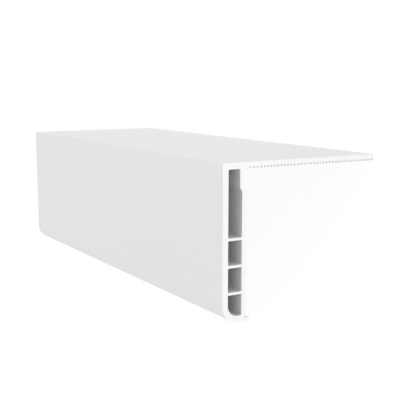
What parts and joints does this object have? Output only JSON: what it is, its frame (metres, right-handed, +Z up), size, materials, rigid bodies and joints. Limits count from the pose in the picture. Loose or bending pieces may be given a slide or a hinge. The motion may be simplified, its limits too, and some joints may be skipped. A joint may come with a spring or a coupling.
{
  "type": "cover trim",
  "caption": "Short length of white plastic angle cover trim: a thin flange with a grooved bonding face and a hollow ribbed leg with a rounded foot and a thin lip.",
  "frame": {"origin": "centre of the bounding box on the floor, 6 mm from under the ridge, on the flange side", "axes": "+X along the extrusion, +Y from the leg towards the flange, +Z up; the trim stands as a tent on its lip and its flange's tip"},
  "size_m": [0.192, 0.0882, 0.05],
  "materials": {
    "white_upvc": "satin, as extruded"
  },
  "bodies": {
    "root": {"cover_trim": "white_upvc"}
  },
  "joints": []
}
